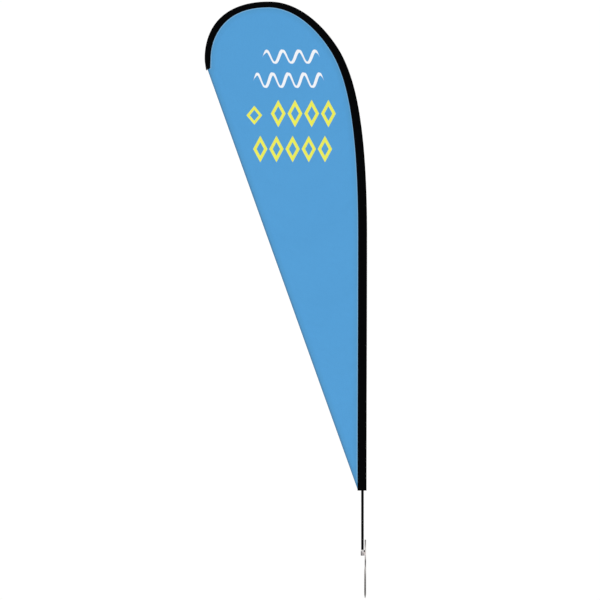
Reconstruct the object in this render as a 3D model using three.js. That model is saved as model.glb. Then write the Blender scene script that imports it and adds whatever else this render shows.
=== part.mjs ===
// A teardrop flag: a sectional pole bent into a hook, a flag panel with a sewn pole sleeve,
// and a steel ground spike whose ball-bearing spindle lets the flag turn with the wind.
// Millimetres, +Z up. The spindle's axis is the Z axis, and Z = 0 is the underside of the
// bearing housing, which rests on the ground. The flag lies in the XZ plane, towards -X.

import * as THREE from 'three';

// ---------------------------------------------------------------- driving dimensions

const fitGap = 0.3;                 // between pieces that touch

// ground spike: a round rod, forged into a blade below
const spikeTop = 112.7;             // hammer face, above the ground
const spikeBottom = -297.5;         // point, below the ground
const rodDiameter = 9.8;
const rodStandoff = 3.5;            // from the bearing housing
const rodChamfer = 0.8;
const bladeWidth = 13.4;
const bladeDepth = 9;
const bladeStart = -72;             // the rod starts to flatten here
const bladeFull = -107;             // and is a full-width blade here
const pointLength = 35;
const pointShare = 0.2;             // of the blade's width and depth, left at the point
const pointBow = [0.6, 0.66];       // share of the way down the point, and its width there
const forgedPower = 1.2;            // of the half-forged section, between a round and a diamond
const bladePower = 1.7;             // of the blade's section: a diamond with worn corners

// ball bearings
const bearingBore = 8;
const bearingOuter = 19;
const bearingWidth = 6;
const ballDiameter = 3;
const ballCount = 7;
const bearingSpan = 15.5;            // from one bearing's centre to the other's
const landHeight = 1;               // how far each ring's land stands beyond its groove
const shoulderShare = 0.62;         // of a ring's half width, where its land starts
const trackShare = 0.34;            // of a ring's half width, taken by its groove's floor
const cageWall = 1.3;
const spacerWall = 1.2;
const circlipThickness = 1.2;
const circlipReach = 1.5;           // how far a circlip stands out over its bearing's ring
const circlipGap = 40;              // degrees left open in a circlip
const grooveShare = 0.75;           // of the housing's wall, cut away for its circlip
const neckShare = 0.76;             // of the spindle's radius, left under its circlip

// bearing housing
const housingWall = 2.2;
const housingFloor = 3;
const housingRim = 2.2;             // above the circlip's groove
const seatWidth = 1.6;              // of the shoulder that the lower bearing stands on
const weldRadius = 3;
const weldStart = 2;                // above the ground
const weldRunOut = 4.5;             // up the rod, past the top of the housing

// spindle
const tailLength = 0.6;             // below the spindle's circlip
const bossWall = 1.2;
const flangeThickness = 4.5;
const spigotLength = 110;           // above the friction washer
const spigotChamfer = 2.5;
const washerThickness = 4;
const washerRim = 1;                // outside the pole

// pole
const poleDiameters = [18.3, 15, 12, 9.2];  // foot to tip
const poleWall = 1.45;              // of the two lower sections, which are tubes
const tipDiameter = 6;
const sectionLength = 1208;
const bushWall = 1.1;
const bushLength = 112;
const bushRim = 1;
const ferruleLength = 100;
const ferruleWall = 1.5;
const capWall = 1.3;
const capLength = 20;
const capCrown = 0.6;               // share of a cup's wall left round its closed end
const ferruleLip = 6;
const pocketWall = 1.2;
const pocketLength = 45;

// flag
const mouthZ = 456;                 // lower end of the pole sleeve
const sleeveWidth = 61;
const sleeveTipWidth = 38.7;
const sleeveOutside = 0.43;         // share of the width that lies outside the pole's centre
const taperFrom = 2115;             // pole length from the foot, where the sleeve starts to narrow
const taperLength = 2000;
const taperPower = 2.5;
const sleeveWall = 1.2;
const sleeveEase = 0.5;             // room between the sleeve and the pole's thickest fitting
const seamThickness = 1.2;          // where the sleeve's two sides meet
const sleeveEndWall = 3;
const panelThickness = 1;
const hemWidth = 14;
const hemThickness = 1.8;
const cornerRise = 22;              // from the sleeve's mouth up to the flag's lower corner
const tipDrop = 3;                  // from the sleeve's end down to the flag's upper corner
const strapWidth = 25;
const strapThickness = 1.6;
const strapRise = 8;                // from the sleeve's mouth up to the cinch strap

// The bend of the pole, as the points (x, z) that its smooth curves pass through,
// with each curve's two handles between them.
const bend = [
  [0, mouthZ], [0, 1056], [4, 1646],
  [4, 2246], [4, 3065], [-89, 3336],
  [-162, 3486], [-209, 3582], [-394, 3860],
  [-657, 3860], [-1057, 3860], [-1108, 3558],
  [-1079, 3400],
];

const bendAt = 2200;                // pole length from the foot, where the line starts to bend
const bendStep = 55;
const straightStep = 420;
const round = 24;                   // sides of a turned piece
const rodSides = 16;                // of the pole, its fittings and the spike
const wrapSteps = 4;                // round the pole, on each side of the sleeve

// ---------------------------------------------------------------- sizes that follow

const bearingPitch = (bearingBore + bearingOuter) / 2;
const housingBore = bearingOuter / 2 + fitGap;               // radius
const housingRadius = housingBore + housingWall;
const grooveDepth = grooveShare * housingWall;
const spindleRadius = bearingBore / 2 - fitGap;
const neckRadius = neckShare * spindleRadius;                // in its circlip's groove
const tailRoom = 2.5 * fitGap;
const spindleBottom = housingFloor + tailRoom;
const lowerClipTop = spindleBottom + tailLength + fitGap / 2 + circlipThickness;
const lowerBearingZ = lowerClipTop + fitGap + bearingWidth / 2;
const upperBearingZ = lowerBearingZ + bearingSpan;
const upperClipLow = upperBearingZ + bearingWidth / 2 + fitGap;
const grooveTop = upperClipLow + circlipThickness + fitGap;
const housingHeight = grooveTop + housingRim;
const flangeLow = housingHeight + fitGap;
const flangeTop = flangeLow + flangeThickness;
const washerTop = flangeTop + fitGap + washerThickness;
const poleFoot = washerTop + fitGap;

const poleRadii = poleDiameters.map((diameter) => diameter / 2);
const bushOuter = poleRadii[0] - poleWall - fitGap;
const bushBore = bushOuter - bushWall;
const spigotRadius = bushBore - fitGap;
const capBore = tipDiameter / 2 + 2 * fitGap;
const pocketBore = capBore + capWall + fitGap;

// ---------------------------------------------------------------- materials

const finish = (color, roughness, metalness) =>
  new THREE.MeshStandardMaterial({ color, roughness, metalness });

const zincSteel = finish(0x9a9694, 0.35, 1);
const brightSteel = finish(0xd6d4d2, 0.2, 1);
const bearingSteel = finish(0xb9bcc0, 0.15, 1);
const cageBrass = finish(0xb58f45, 0.4, 1);
const whiteNylon = finish(0xe9e7e2, 0.5, 0);
const blackPole = finish(0x050506, 0.35, 0.2);
const fibreglass = finish(0x08080a, 0.45, 0);
const ferruleMetal = finish(0xa8aaad, 0.3, 1);
const blackPlastic = finish(0x0c0c0d, 0.5, 0);
const blueCloth = finish(0x559ed5, 0.85, 0);
const blackCloth = finish(0x030303, 0.9, 0);
const blackWebbing = finish(0x070707, 0.95, 0);

// ---------------------------------------------------------------- helpers

const root = new THREE.Group();

function addMesh(name, geometry, material) {
  const mesh = new THREE.Mesh(geometry, material);
  mesh.name = name;
  root.add(mesh);
  return mesh;
}

// A solid whose surface is a run of rings with the same number of points, each ring
// joined to the next. The two end rings are filled, or joined to each other if looped.
function skin(loops, looped = false) {
  const count = loops[0].length;
  const positions = loops.flat().flatMap((p) => [p.x, p.y, p.z]);
  const index = [];
  const bands = looped ? loops.length : loops.length - 1;
  for (let r = 0; r < bands; r++) {
    const a = r * count;
    const b = ((r + 1) % loops.length) * count;
    for (let i = 0; i < count; i++) {
      const j = (i + 1) % count;
      index.push(a + i, a + j, b + j, a + i, b + j, b + i);
    }
  }
  if (!looped) {
    const last = (loops.length - 1) * count;
    for (let i = 1; i < count - 1; i++) {
      index.push(0, i + 1, i);
      index.push(last, last + i, last + i + 1);
    }
  }
  const geometry = new THREE.BufferGeometry();
  geometry.setAttribute('position', new THREE.Float32BufferAttribute(positions, 3));
  geometry.setIndex(index);
  return facingOut(geometry);
}

// The same geometry with its faces pointing out, judged by its signed volume.
function facingOut(geometry) {
  const flat = geometry.index ? geometry.toNonIndexed() : geometry;
  const at = flat.getAttribute('position');
  const [a, b, c] = [new THREE.Vector3(), new THREE.Vector3(), new THREE.Vector3()];
  let volume = 0;
  for (let i = 0; i < at.count; i += 3) {
    a.fromBufferAttribute(at, i);
    b.fromBufferAttribute(at, i + 1);
    c.fromBufferAttribute(at, i + 2);
    volume += a.dot(b.cross(c));
  }
  if (volume < 0) {
    for (let i = 0; i < at.count; i += 3) {
      b.fromBufferAttribute(at, i + 1);
      c.fromBufferAttribute(at, i + 2);
      at.setXYZ(i + 1, c.x, c.y, c.z);
      at.setXYZ(i + 2, b.x, b.y, b.z);
    }
  }
  flat.computeVertexNormals();
  return flat;
}

// A piece turned about the Z axis from a profile of (radius, height) points. It starts
// and ends on the axis, or closes on itself.
function turned(profile) {
  const points = profile.map(([radius, height]) => new THREE.Vector2(radius, height));
  return facingOut(new THREE.LatheGeometry(points, round).rotateX(Math.PI / 2));
}

// A turned tube from z = low to z = high.
function turnedTube(inner, outer, low, high) {
  return turned([[inner, low], [outer, low], [outer, high], [inner, high], [inner, low]]);
}

// A flat plate in the XZ plane from an outline of (x, z) points, centred on Y = 0.
function plate(outline, thickness) {
  const shape = new THREE.Shape(outline.map(([x, z]) => new THREE.Vector2(x, z)));
  const geometry = new THREE.ExtrudeGeometry(shape, { depth: thickness, bevelEnabled: false });
  return facingOut(geometry.translate(0, 0, -thickness / 2).rotateX(Math.PI / 2));
}

const mix = (a, b, share) => a + (b - a) * share;

// ---------------------------------------------------------------- the pole's line

const at3 = ([x, z]) => new THREE.Vector3(x, 0, z);
const poleLine = new THREE.CurvePath();
poleLine.add(new THREE.LineCurve3(at3([0, poleFoot]), at3(bend[0])));
for (let i = 0; i + 3 < bend.length; i += 3) {
  poleLine.add(new THREE.CubicBezierCurve3(...bend.slice(i, i + 4).map(at3)));
}
const lineLength = poleLine.getLength();
const mouthAt = mouthZ - poleFoot;  // lengths along the line start at the pole's foot

// Where the line is at a length from the foot: the point, its direction, and the
// direction out of the bend, away from the flag.
function lineAt(length) {
  const t = length / lineLength;
  const point = poleLine.getPoint(t);
  const along = poleLine.getTangent(t);
  return { point, along, out: new THREE.Vector3(along.z, 0, -along.x) };
}

// A round ring about the line.
function ringAt(length, radius) {
  const { point, out } = lineAt(length);
  return Array.from({ length: rodSides }, (_, i) => {
    const angle = (i / rodSides) * 2 * Math.PI;
    return point.clone()
      .addScaledVector(out, radius * Math.cos(angle))
      .add(new THREE.Vector3(0, radius * Math.sin(angle), 0));
  });
}

// The pole's pieces, as lengths along the line.
const tipRoom = sleeveEndWall + fitGap + pocketWall + fitGap + capWall + fitGap;
const poleEnd = lineLength - tipRoom;
const capEnd = poleEnd + fitGap + capWall;
const pocketEnd = capEnd + fitGap + pocketWall;
const breaks = [0, 1, 2, 3].map((i) => i * sectionLength);
const ferrulePlaces = breaks.slice(1).map((length) => {
  const middle = length + fitGap / 2;
  const high = middle + ferruleLength / 2;
  return { low: middle - ferruleLength / 2, step: middle + 1, lip: high - ferruleLip, high };
});

// The lengths at which every piece along the line has its rings, so that one fits inside
// another: where the pieces start and end, with steps between, which are short where the
// line bends.
function dividedLine() {
  const ends = [
    0, mouthAt, bendAt, lineLength, capEnd - capLength, pocketEnd - pocketLength,
    ...breaks.slice(1), ...ferrulePlaces.flatMap((place) => Object.values(place)),
  ].sort((a, b) => a - b);
  return ends.slice(1).flatMap((end, i) => {
    const span = end - ends[i];
    const steps = Math.ceil(span / (ends[i] < bendAt ? straightStep : bendStep));
    return Array.from({ length: steps }, (_, n) => ends[i] + (span * n) / steps);
  });
}
const rings = dividedLine();

function stations(from, to) {
  return [from, ...rings.filter((s) => s > from + fitGap && s < to - fitGap), to];
}

// A rod or tube that follows the line. Each radius may change along it.
function rodAlong(from, to, radius) {
  return skin(stations(from, to).map((s) => ringAt(s, radius(s))));
}

function tubeAlong(from, to, outer, inner) {
  const places = stations(from, to);
  const outside = places.map((s) => ringAt(s, outer(s)));
  const inside = places.map((s) => ringAt(s, inner(s))).reverse();
  return skin([...outside, ...inside], true);
}

const always = (value) => () => value;

// ---------------------------------------------------------------- ground spike

const rodX = housingRadius + rodStandoff + rodDiameter / 2;
const bladeX = rodX + (rodDiameter - bladeWidth) / 2;  // flush with the rod's outer side

// A level section of the spike. The power is 1 for a round bar and 2 for a diamond.
function barRing(x, z, width, depth, power) {
  const bulge = (value) => Math.sign(value) * Math.abs(value) ** power;
  return Array.from({ length: rodSides }, (_, i) => {
    const angle = (i / rodSides) * 2 * Math.PI;
    return new THREE.Vector3(
      x + (width / 2) * bulge(Math.cos(angle)), (depth / 2) * bulge(Math.sin(angle)), z);
  });
}

function groundSpike() {
  const roundRing = (z, size) => barRing(rodX, z, size, size, 1);
  const bladeRing = (z, share) =>
    barRing(bladeX, z, bladeWidth * share, bladeDepth * share, bladePower);
  const pointStart = spikeBottom + pointLength;
  addMesh('ground_spike', skin([
    roundRing(spikeTop, rodDiameter - 2 * rodChamfer),
    roundRing(spikeTop - rodChamfer, rodDiameter),
    roundRing(bladeStart, rodDiameter),
    barRing(mix(rodX, bladeX, 0.5), mix(bladeStart, bladeFull, 0.5),
      mix(rodDiameter, bladeWidth, 0.5), mix(rodDiameter, bladeDepth, 0.5), forgedPower),
    bladeRing(bladeFull, 1),
    bladeRing(pointStart, 1),
    bladeRing(mix(pointStart, spikeBottom, pointBow[0]), pointBow[1]),
    bladeRing(spikeBottom, pointShare),
  ]), zincSteel);
}

// A weld bead fills the groove on either side, between the round housing and the rod,
// just clear of both.
function weldBeads() {
  const toHousing = housingRadius + fitGap + weldRadius;
  const toRod = rodDiameter / 2 + fitGap + weldRadius;
  const x = (toHousing ** 2 - toRod ** 2 + rodX ** 2) / (2 * rodX);
  const y = Math.sqrt(toHousing ** 2 - x ** 2);
  const length = housingHeight + weldRunOut - weldStart;
  for (const [side, sign] of [['front', -1], ['back', 1]]) {
    const bead = new THREE.CylinderGeometry(weldRadius, weldRadius, length, 8);
    addMesh(`weld_bead_${side}`, facingOut(bead.rotateX(Math.PI / 2)), zincSteel).position
      .set(x, sign * y, weldStart + length / 2);
  }
}

// ---------------------------------------------------------------- bearing unit

function housing() {
  const groove = housingBore + grooveDepth;
  const grooveLow = upperClipLow - fitGap / 2;
  addMesh('bearing_housing', turned([
    [0, 0], [housingRadius, 0], [housingRadius, housingHeight],
    [housingBore, housingHeight], [housingBore, grooveTop], [groove, grooveTop],
    [groove, grooveLow], [housingBore, grooveLow], [housingBore, lowerClipTop],
    [housingBore - seatWidth, lowerClipTop], [housingBore - seatWidth, housingFloor],
    [0, housingFloor],
  ]), brightSteel);
}

// A flat open ring with its gap towards -X.
function circlip(name, inner, outer, z) {
  const half = THREE.MathUtils.degToRad(circlipGap / 2);
  const shape = new THREE.Shape();
  shape.absarc(0, 0, outer, Math.PI + half, Math.PI - half + 2 * Math.PI, false);
  shape.absarc(0, 0, inner, Math.PI - half, Math.PI + half - 2 * Math.PI, true);
  const geometry = new THREE.ExtrudeGeometry(shape, {
    depth: circlipThickness, bevelEnabled: false, curveSegments: 10,
  });
  addMesh(name, facingOut(geometry.translate(0, 0, z)), bearingSteel);
}

function bearing(name, z) {
  const ball = ballDiameter / 2;
  const pitch = bearingPitch / 2;
  const half = bearingWidth / 2;
  const innerGroove = pitch - ball - fitGap;
  const outerGroove = pitch + ball + fitGap;
  const shoulder = shoulderShare * half;
  const track = trackShare * half;
  const ring = (bore, groove, land) => turned([
    [bore, -half], [land, -half], [land, -shoulder], [groove, -track],
    [groove, track], [land, shoulder], [land, half], [bore, half], [bore, -half],
  ]);
  const inner = ring(bearingBore / 2, innerGroove, innerGroove + landHeight);
  const outer = ring(bearingOuter / 2, outerGroove, outerGroove - landHeight);
  addMesh(`${name}_inner_ring`, inner, bearingSteel).position.z = z;
  addMesh(`${name}_outer_ring`, outer, bearingSteel).position.z = z;

  const cageTop = -ball - fitGap;
  const cage = turnedTube(pitch - cageWall / 2, pitch + cageWall / 2, -half, cageTop);
  addMesh(`${name}_cage`, cage, cageBrass).position.z = z;
  for (let i = 0; i < ballCount; i++) {
    const angle = (i / ballCount) * 2 * Math.PI;
    addMesh(`${name}_ball_${i + 1}`, new THREE.SphereGeometry(ball, 8, 6), bearingSteel)
      .position.set(pitch * Math.cos(angle), pitch * Math.sin(angle), z);
  }
}

function bearingUnit() {
  housing();
  bearing('lower_bearing', lowerBearingZ);
  bearing('upper_bearing', upperBearingZ);
  const low = lowerBearingZ + bearingWidth / 2 + fitGap;
  const high = upperBearingZ - bearingWidth / 2 - fitGap;
  const outer = bearingOuter / 2;
  const inner = bearingBore / 2;
  addMesh('outer_spacer', turnedTube(outer - spacerWall, outer, low, high), zincSteel);
  addMesh('inner_spacer', turnedTube(inner, inner + spacerWall, low, high), zincSteel);
  circlip('housing_circlip',
    housingBore - circlipReach, housingBore + grooveDepth - fitGap, upperClipLow);
  circlip('spindle_circlip',
    neckRadius + fitGap, inner + circlipReach, lowerClipTop - circlipThickness);
}

function spindle() {
  const grooveHigh = lowerClipTop + fitGap / 2;
  const grooveLow = lowerClipTop - circlipThickness - fitGap / 2;
  const boss = bearingBore / 2 + bossWall;  // stands on the upper bearing's inner ring
  const top = washerTop + spigotLength;
  addMesh('spindle', turned([
    [0, spindleBottom], [spindleRadius, spindleBottom], [spindleRadius, grooveLow],
    [neckRadius, grooveLow], [neckRadius, grooveHigh], [spindleRadius, grooveHigh],
    [spindleRadius, upperClipLow], [boss, upperClipLow], [boss, flangeLow],
    [housingRadius, flangeLow], [housingRadius, flangeTop], [spigotRadius, flangeTop],
    [spigotRadius, top - spigotChamfer], [spigotRadius - spigotChamfer, top], [0, top],
  ]), brightSteel);
  addMesh('friction_washer', turnedTube(spigotRadius + fitGap, poleRadii[0] + washerRim,
    flangeTop + fitGap, washerTop), whiteNylon);
}

// ---------------------------------------------------------------- pole

function pole() {
  for (let i = 0; i < breaks.length; i++) {
    const from = breaks[i] + (i ? fitGap : 0);
    const to = i + 1 < breaks.length ? breaks[i + 1] : poleEnd;
    const name = `pole_section_${i + 1}`;
    const radius = poleRadii[i];
    if (i < 2) {
      const tube = tubeAlong(from, to, always(radius), always(radius - poleWall));
      addMesh(name, tube, blackPole);
    } else if (i === 2) {
      addMesh(name, rodAlong(from, to, always(radius)), fibreglass);
    } else {
      const taper = (s) => mix(radius, tipDiameter / 2, (s - from) / (to - from));
      addMesh(name, rodAlong(from, to, taper), fibreglass);
    }
  }

  // A bush in the pole's foot, which turns the tube's bore into a socket for the spigot.
  const top = poleFoot + bushLength;
  addMesh('base_bush', turned([
    [bushBore, poleFoot], [bushOuter, poleFoot], [bushOuter, top],
    [bushBore + bushRim / 2, top], [bushBore, top - bushRim], [bushBore, poleFoot],
  ]), blackPlastic);
}

// A metal ferrule over each break, stepped to fit the section on either side of it.
function ferrules() {
  ferrulePlaces.forEach(({ low, step, lip, high }, i) => {
    const lower = poleRadii[i] + fitGap;
    const upper = poleRadii[i + 1] + fitGap;
    const radius = (s) => (s > lip + fitGap ? upper : lower) + ferruleWall;
    const outside = stations(low, high).map((s) => ringAt(s, radius(s)));
    const wide = stations(low, step).map((s) => ringAt(s, lower));
    const narrow = stations(step, high).map((s) => ringAt(s, upper));
    const inside = [...wide, ...narrow].reverse();
    addMesh(`ferrule_${i + 1}`, skin([...outside, ...inside], true), ferruleMetal);
  });
}

// A cup that follows the line and is closed at its far end.
function cupAlong(from, to, inner, wall, endWall) {
  const places = stations(from, to - endWall);
  const inside = places.map((s) => ringAt(s, inner)).reverse();
  const outside = places.map((s) => ringAt(s, inner + wall));
  return skin([...inside, ...outside, ringAt(to, inner + wall * capCrown)]);
}

function tipFittings() {
  addMesh('pole_tip_cap',
    cupAlong(capEnd - capLength, capEnd, capBore, capWall, capWall), blackPlastic);
  addMesh('tip_pocket',
    cupAlong(pocketEnd - pocketLength, pocketEnd, pocketBore, pocketWall, pocketWall),
    blackWebbing);
}

// ---------------------------------------------------------------- flag

function widthAt(length) {
  const share = THREE.MathUtils.clamp((length - taperFrom) / taperLength, 0, 1);
  return mix(sleeveWidth, sleeveTipWidth, share ** taperPower);
}

// Half the sleeve's thickness over the pole. It clears each ferrule and the tip's pocket,
// and changes evenly from one to the next.
const fittings = [
  ...ferrulePlaces.map(({ low, high }, i) => [low, high, poleRadii[i] + fitGap + ferruleWall]),
  [pocketEnd - pocketLength, lineLength, pocketBore + pocketWall],
];
function depthAt(length) {
  const next = fittings.findIndex(([, high]) => length <= high);
  const [low, , radius] = fittings[next];
  const [, lastHigh, lastRadius] = fittings[Math.max(next - 1, 0)];
  const share = next ? THREE.MathUtils.clamp((length - lastHigh) / (low - lastHigh), 0, 1) : 1;
  return mix(lastRadius, radius, share) + sleeveEase + sleeveWall;
}

// One section of the sleeve. Its cloth runs straight from the seam at each edge and wraps
// round the pole between them. The inset moves the surface inwards by the cloth's thickness.
function sleeveRing(length, inset) {
  const { point, out } = lineAt(length);
  const radius = depthAt(length) - inset;
  const edge = seamThickness / 2 - inset / 4;
  const outer = widthAt(length) * sleeveOutside - 2.5 * inset;
  const inner = widthAt(length) * (1 - sleeveOutside) - 2.5 * inset;
  const leaves = (reach) => Math.atan(edge / reach) + Math.acos(radius / Math.hypot(reach, edge));
  const from = leaves(outer);
  const to = Math.PI - leaves(inner);
  const corner = radius / Math.cos((to - from) / wrapSteps / 2);
  const wrap = Array.from({ length: wrapSteps + 1 }, (_, i) => {
    const angle = mix(from, to, i / wrapSteps);
    return [corner * Math.cos(angle), corner * Math.sin(angle)];
  });
  const side = [[outer, edge], ...wrap, [-inner, edge]];
  const loop = [...side, ...side.map(([u, v]) => [u, -v]).reverse()];
  return loop.map(([u, v]) =>
    point.clone().addScaledVector(out, u).add(new THREE.Vector3(0, v, 0)));
}

// The curved edge where the panel meets the sleeve, as (x, z) points.
function panelEdge(length, gap) {
  const { point, out } = lineAt(length);
  const reach = widthAt(length) * (1 - sleeveOutside) + gap;
  return [point.x - out.x * reach, point.z - out.z * reach];
}

function poleSleeve() {
  const inside = stations(mouthAt, lineLength - sleeveEndWall)
    .map((s) => sleeveRing(s, sleeveWall));
  const outside = stations(mouthAt, lineLength).map((s) => sleeveRing(s, 0));
  addMesh('pole_sleeve', skin([...inside.reverse(), ...outside]), blackCloth);
}

// The free edge of the flag runs straight from its upper corner, under the sleeve's end,
// to its lower corner on the sleeve's seam. The hem lies along it, and the panel fills
// the rest, up to the seam.
function flag() {
  const end = lineAt(lineLength);
  const upper = end.point.clone().addScaledVector(end.along, tipDrop);
  const lowerZ = mouthZ + cornerRise;
  const lower = new THREE.Vector3(panelEdge(mouthAt, fitGap)[0], 0, lowerZ);
  const down = lower.clone().sub(upper).normalize();
  const inward = new THREE.Vector3(-down.z, 0, down.x);
  const shifted = (distance) => upper.clone().addScaledVector(inward, distance);
  // Where a line parallel to the free edge meets the vertical seam above the corner.
  const onSeam = (distance) => [lower.x, lowerZ + distance / inward.z];

  const hemTop = shifted(hemWidth);
  addMesh('free_edge_hem', plate([
    [upper.x, upper.z], [lower.x, lower.z], onSeam(hemWidth), [hemTop.x, hemTop.z],
  ], hemThickness), blueCloth);

  const panelTop = shifted(hemWidth + fitGap);
  const panelLow = onSeam(hemWidth + fitGap);
  const seam = stations(mouthAt, lineLength)
    .filter((s) => s > bendAt || lineAt(s).point.z > panelLow[1])
    .map((s) => panelEdge(s, fitGap));
  const corner = seam.at(-1);
  const past = [corner[0] + end.along.x * fitGap, corner[1] + end.along.z * fitGap];
  addMesh('flag_panel',
    plate([panelLow, ...seam, past, [panelTop.x, panelTop.z]], panelThickness), blueCloth);
}

// A hook-and-loop strap that grips the pole just inside the sleeve's mouth, so that the
// sleeve can't ride up.
function cinchStrap() {
  const inner = poleRadii[0] + fitGap;
  const low = mouthZ + strapRise;
  addMesh('cinch_strap',
    turnedTube(inner, inner + strapThickness, low, low + strapWidth), blackWebbing);
}

groundSpike();
weldBeads();
bearingUnit();
spindle();
pole();
ferrules();
tipFittings();
poleSleeve();
flag();
cinchStrap();

export default root;
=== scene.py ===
import math

import bmesh
import bpy
import numpy as np
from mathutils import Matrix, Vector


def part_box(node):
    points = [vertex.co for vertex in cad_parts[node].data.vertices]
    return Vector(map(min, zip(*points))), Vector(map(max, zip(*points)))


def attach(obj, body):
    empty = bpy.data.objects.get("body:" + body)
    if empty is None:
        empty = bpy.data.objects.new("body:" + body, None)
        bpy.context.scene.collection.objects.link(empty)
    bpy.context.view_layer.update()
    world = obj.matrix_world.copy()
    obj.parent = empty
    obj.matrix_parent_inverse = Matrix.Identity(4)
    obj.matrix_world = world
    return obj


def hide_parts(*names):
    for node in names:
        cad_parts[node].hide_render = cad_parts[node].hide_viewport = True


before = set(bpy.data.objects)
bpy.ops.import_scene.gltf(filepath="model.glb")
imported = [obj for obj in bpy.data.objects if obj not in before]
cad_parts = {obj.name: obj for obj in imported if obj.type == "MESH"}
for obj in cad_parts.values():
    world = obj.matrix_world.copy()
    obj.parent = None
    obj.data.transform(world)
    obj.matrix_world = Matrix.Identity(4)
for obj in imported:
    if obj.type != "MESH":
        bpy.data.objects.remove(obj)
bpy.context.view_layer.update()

mm = 0.001
spikeBody, spindleBody, flagBody = "spike_body", "spindle_body", "flag_body"
print("frame loaded,", len(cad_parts), "nodes")


# Surfaces: every piece below is a grid of points, worked out as whole arrays

def gridFaces(rows, cols, wrapRows=False, wrapCols=True):
    # each quad joins a point to the next in its row, and both to the row after
    i, j = np.meshgrid(
        np.arange(rows if wrapRows else rows - 1),
        np.arange(cols if wrapCols else cols - 1),
        indexing="ij",
    )
    nextRow, nextCol = (i + 1) % rows, (j + 1) % cols
    quads = [i * cols + j, i * cols + nextCol, nextRow * cols + nextCol, nextRow * cols + j]
    return np.stack(quads, -1).reshape(-1, 4)


def signedVolume(points, quads):
    # six times the volume inside: corner dot (corner cross corner), summed over both
    # triangles of each quad, and below 0 where the faces point inwards
    a, b, c, d = (points[quads[:, k]] for k in range(4))
    return (np.einsum("ij,ij->i", a, np.cross(b, c)) + np.einsum("ij,ij->i", a, np.cross(c, d))).sum()


def placeObject(name, data):
    # a new object at the origin, linked to the scene
    item = bpy.data.objects.new(name, data)
    bpy.context.scene.collection.objects.link(item)
    return item


def addPiece(name, points, quads, material, body, slot, replaces=(), sharp=40, capRows=()):
    # a closed surface, turned to face outwards, with its doubled points merged: smooth,
    # apart from edges that bend by more than sharp degrees
    points = np.asarray(points, float).reshape(-1, 3)
    if signedVolume(points - points.mean(0), quads) < 0:
        quads = quads[:, ::-1]
        capRows = [row[::-1] for row in capRows]
    mesh = bpy.data.meshes.new(name)
    mesh.from_pydata(points.tolist(), [], quads.tolist() + [list(row) for row in capRows])
    piece = placeObject(name, mesh)
    mergeDoubles(mesh)
    mesh.polygons.foreach_set("use_smooth", [True] * len(mesh.polygons))
    mesh.set_sharp_from_angle(angle=math.radians(sharp))
    mesh.materials.append(material)
    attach(piece, body)
    if replaces:
        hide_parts(*replaces)
    return piece


def mergeDoubles(mesh, distance=1e-6):
    # points closer than distance metres become one, and faces left with no size go
    work = bmesh.new()
    work.from_mesh(mesh)
    bmesh.ops.remove_doubles(work, verts=work.verts, dist=distance)
    bmesh.ops.dissolve_degenerate(work, edges=work.edges, dist=distance / 10)
    work.to_mesh(mesh)
    work.free()


def smoothStep(value, low, high):
    # 0 up to low, 1 from high on, and 3 t squared - 2 t cubed between them
    t = np.clip((value - low) / (high - low), 0, 1)
    return t * t * (3 - 2 * t)


def around(count):
    # the angles of points spaced evenly round a circle
    return np.linspace(0, 2 * math.pi, count, endpoint=False)


def unit(vectors):
    # each vector divided by its own length
    return vectors / np.linalg.norm(vectors, axis=-1, keepdims=True)


def roll(x, seed):
    # a smooth wander between about -1 and 1: three sines whose periods never line up
    return (np.sin(x + seed) + np.sin(1.618 * x + 2.3 * seed) + np.sin(2.414 * x + 4.1 * seed)) / 2.4


def rounded(corners, radius, closed, steps=4):
    # a profile whose corners are quadratic curves, set back along their two sides
    corners = np.array(corners, float)
    out = []
    for i, corner in enumerate(corners):
        if not closed and i in (0, len(corners) - 1):
            out.append(corner[None])
            continue
        before, after = corners[i - 1], corners[(i + 1) % len(corners)]
        t = np.linspace(0, 1, steps)[:, None]
        sides = []
        for other in (before, after):
            length = np.linalg.norm(other - corner)
            sides.append(corner + (other - corner) * min(radius / length, 0.45))
        out.append((1 - t) ** 2 * sides[0] + 2 * t * (1 - t) * corner + t ** 2 * sides[1])
    return np.concatenate(out)


def turn(name, profile, material, body, slot, closed, sides=64, **more):
    # (radius, height) pairs carried round the pole's axis at its foot
    angle = around(sides)
    r, z = np.asarray(profile).T[:, :, None]
    points = np.stack([r * np.cos(angle), r * np.sin(angle), np.broadcast_to(z, (len(z), sides))], -1)
    quads = gridFaces(len(profile), sides, wrapRows=closed)
    return addPiece(name, points, quads, material, body, slot, **more)


# The line that the pole follows, in the flag's plane: straight up, then a chain of
# smooth curves given as (x, z) points with two handles between them

poleBend = np.array([
    [0, 456], [0, 1056], [4, 1646],
    [4, 2246], [4, 3065], [-89, 3336],
    [-162, 3486], [-209, 3582], [-394, 3860],
    [-657, 3860], [-1057, 3860], [-1108, 3558],
    [-1079, 3400],
]) * mm
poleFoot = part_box("pole_section_1")[0].z


def traceLine(steps=600):
    # points along the line and how far each is from the foot: a straight run, then cubic
    # Bezier curves through every third point
    t = np.linspace(0, 1, steps)[:, None]
    runs = [np.array([[0, poleFoot]]) * (1 - t) + poleBend[:1] * t]
    for a, b, c, d in (poleBend[i:i + 4] for i in range(0, len(poleBend) - 3, 3)):
        runs.append((1 - t) ** 3 * a + 3 * t * (1 - t) ** 2 * b + 3 * t * t * (1 - t) * c + t ** 3 * d)
    line = np.concatenate([run[:-1] for run in runs] + [runs[-1][-1:]])
    step = np.linalg.norm(np.diff(line, axis=0), axis=1)
    return line, np.concatenate([[0], np.cumsum(step)])


linePoints, lineLengths = traceLine()
lineEnd = lineLengths[-1]
lineReach = 2 * mm                                 # a direction joins points this far either way
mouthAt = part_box("pole_sleeve")[0].z - poleFoot    # the sleeve's lower end, along the line


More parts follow.
